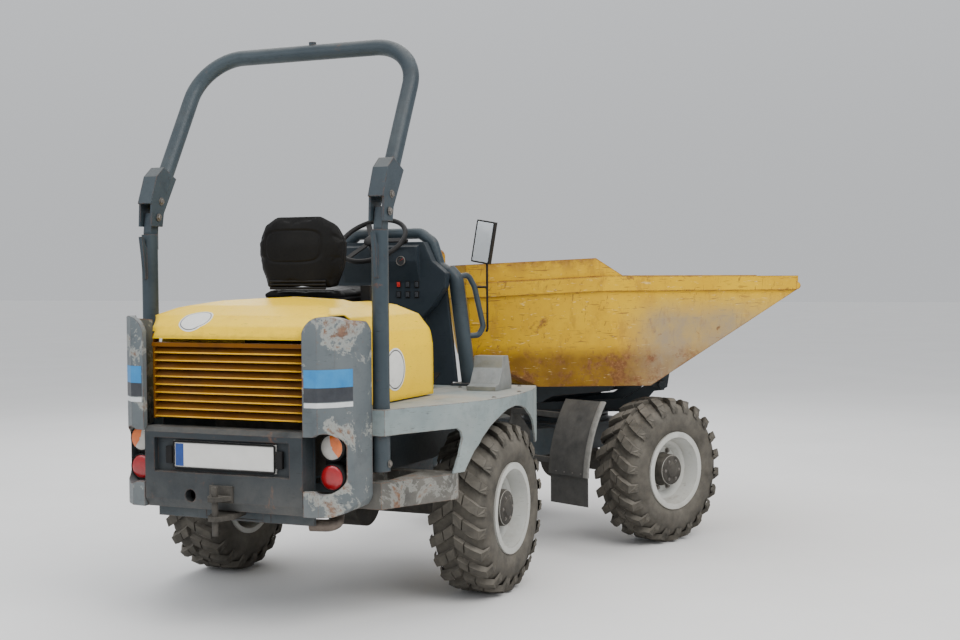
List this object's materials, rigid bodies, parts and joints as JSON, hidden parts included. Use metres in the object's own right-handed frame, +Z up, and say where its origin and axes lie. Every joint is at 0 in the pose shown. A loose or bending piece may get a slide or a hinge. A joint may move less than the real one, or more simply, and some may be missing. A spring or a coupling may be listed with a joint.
{
  "type": "site dumper",
  "caption": "Articulated site dumper with a swivelling, tipping skip, folding roll hoop, seat and console over a rear engine hood, and lugged tyres.",
  "frame": {"origin": "centre of the bounding box, at the bottom of the tyres", "axes": "+X the way the rear unit faces (driving direction), +Y its left, +Z up; the front unit is stored turned 24.2 degrees to the right and the skip a further 40 degrees"},
  "size_m": [4.248, 2.8313, 2.701],
  "materials": {
    "frame_paint": "worn satin",
    "cast_dark": "dirty",
    "grille_yellow": "worn satin",
    "lamp_lens": "glossy",
    "plate_white": "blank, dirty",
    "bare_steel": "weathered",
    "hood_yellow": "satin",
    "seat_cover": "worn vinyl",
    "black_plastic": "matte",
    "galvanised": "galvanised",
    "guard_rubber": "dusty",
    "skip_yellow": "scratched, rusty",
    "rod_chrome": "polished",
    "tyre_rubber": "dusty",
    "rim_grey": "worn"
  },
  "bodies": {
    "rear_unit": {"rear_frame": "frame_paint", "rear_axle": "cast_dark", "engine_block": "cast_dark", "rear_grille": "grille_yellow", "rear_bumper": "frame_paint", "corner_guards": "frame_paint", "rear_lamps": "lamp_lens", "number_plate": "plate_white", "tow_hitch": "cast_dark", "exhaust_pipe": "bare_steel", "seat_pedestal": "frame_paint", "seat_cushion": "seat_cover", "seat_back": "seat_cover", "side_deck_left": "frame_paint", "side_deck_right": "frame_paint", "lower_steps": "frame_paint", "floor_plate": "frame_paint", "console": "frame_paint", "console_frame": "frame_paint", "mirror": "black_plastic", "control_levers": "black_plastic", "pedals": "black_plastic", "wheel_chock": "galvanised", "rops_posts": "frame_paint"},
    "hood": {"engine_hood": "hood_yellow"},
    "hoop": {"rops_hoop": "frame_paint"},
    "steering_wheel": {"steering_wheel": "black_plastic"},
    "front_unit": {"front_frame": "frame_paint", "front_axle": "cast_dark", "front_mudguards": "guard_rubber"},
    "slew_unit": {"skip_carrier": "frame_paint"},
    "skip_unit": {"skip": "skip_yellow", "skip_underframe": "frame_paint"},
    "tip_barrel": {"tip_cylinder_barrel": "frame_paint"},
    "tip_rod": {"tip_cylinder_rod": "rod_chrome"},
    "steering_barrel": {"steering_cylinder_barrel": "frame_paint"},
    "steering_rod": {"steering_cylinder_rod": "rod_chrome"},
    "rear_wheel_left": {"tyre_rear_left": "tyre_rubber", "rim_rear_left": "rim_grey"},
    "rear_wheel_right": {"tyre_rear_right": "tyre_rubber", "rim_rear_right": "rim_grey"},
    "front_wheel_left": {"tyre_front_left": "tyre_rubber", "rim_front_left": "rim_grey"},
    "front_wheel_right": {"tyre_front_right": "tyre_rubber", "rim_front_right": "rim_grey"}
  },
  "joints": [
    {"name": "rear_wheel_left_spin", "type": "hinge", "parent": "rear_unit", "child": "rear_wheel_left", "pos_m": [-0.861, 1.2597, 0.419], "axis": [0, 1, 0], "continuous": true},
    {"name": "rear_wheel_right_spin", "type": "hinge", "parent": "rear_unit", "child": "rear_wheel_right", "pos_m": [-0.861, -0.2563, 0.419], "axis": [0, 1, 0], "continuous": true},
    {"name": "articulation", "type": "hinge", "parent": "rear_unit", "child": "front_unit", "pos_m": [-0.006, 0.5017, 0.56], "axis": [0, 0, 1], "range_deg": [-10.8, 59.2]},
    {"name": "front_wheel_left_spin", "type": "hinge", "parent": "front_unit", "child": "front_wheel_left", "pos_m": [1.34819, 0.72414, 0.419], "axis": [0.4099, 0.9121, 0], "continuous": true},
    {"name": "front_wheel_right_spin", "type": "hinge", "parent": "front_unit", "child": "front_wheel_right", "pos_m": [0.72674, -0.65864, 0.419], "axis": [0.4099, 0.9121, 0], "continuous": true},
    {"name": "skip_swivel", "type": "hinge", "parent": "front_unit", "child": "slew_unit", "pos_m": [1.03747, 0.03275, 0.69], "axis": [0, 0, 1], "range_deg": [-50, 130]},
    {"name": "skip_tip", "type": "hinge", "parent": "slew_unit", "child": "skip_unit", "pos_m": [1.28119, -0.47143, 0.89], "axis": [0.9003, 0.4352, 0], "range_deg": [0, 50]},
    {"name": "tip_barrel_swing", "type": "hinge", "parent": "slew_unit", "child": "tip_barrel", "pos_m": [0.9069, 0.30284, 0.756], "axis": [0.9003, 0.4352, 0], "range_deg": [-14.9, 1]},
    {"name": "tip_rod_slide", "type": "slide", "parent": "tip_barrel", "child": "tip_rod", "axis": [0.4295, -0.8884, 0.1622], "range_m": [-0.002, 0.0852]},
    {"name": "steering_barrel_swing", "type": "hinge", "parent": "rear_unit", "child": "steering_barrel", "pos_m": [-0.566, 0.7517, 0.56], "axis": [0, 0, 1], "range_deg": [-6, 6]},
    {"name": "steering_rod_slide", "type": "slide", "parent": "steering_barrel", "child": "steering_rod", "axis": [0.9972, -0.0749, 0], "range_m": [-0.2397, 0.047]},
    {"name": "steering_wheel_turn", "type": "hinge", "parent": "rear_unit", "child": "steering_wheel", "pos_m": [-0.621, 0.5017, 1.752], "axis": [-0.6157, 0, 0.788], "continuous": true},
    {"name": "hood_hinge", "type": "hinge", "parent": "rear_unit", "child": "hood", "pos_m": [-1.976, 0.5017, 1.302], "axis": [0, -1, 0], "range_deg": [0, 60]},
    {"name": "hoop_fold", "type": "hinge", "parent": "rear_unit", "child": "hoop", "pos_m": [-1.688, 0.5017, 1.853], "axis": [0, -1, 0], "range_deg": [0, 100]}
  ],
  "couplings": [
    {"joint": "tip_barrel_swing", "follows": "skip_tip", "ratio": -0.2779},
    {"joint": "tip_rod_slide", "follows": "skip_tip", "m_per_rad": 0.093037},
    {"joint": "steering_barrel_swing", "follows": "articulation", "ratio": 0.054171},
    {"joint": "steering_rod_slide", "follows": "articulation", "m_per_rad": -0.22812}
  ]
}
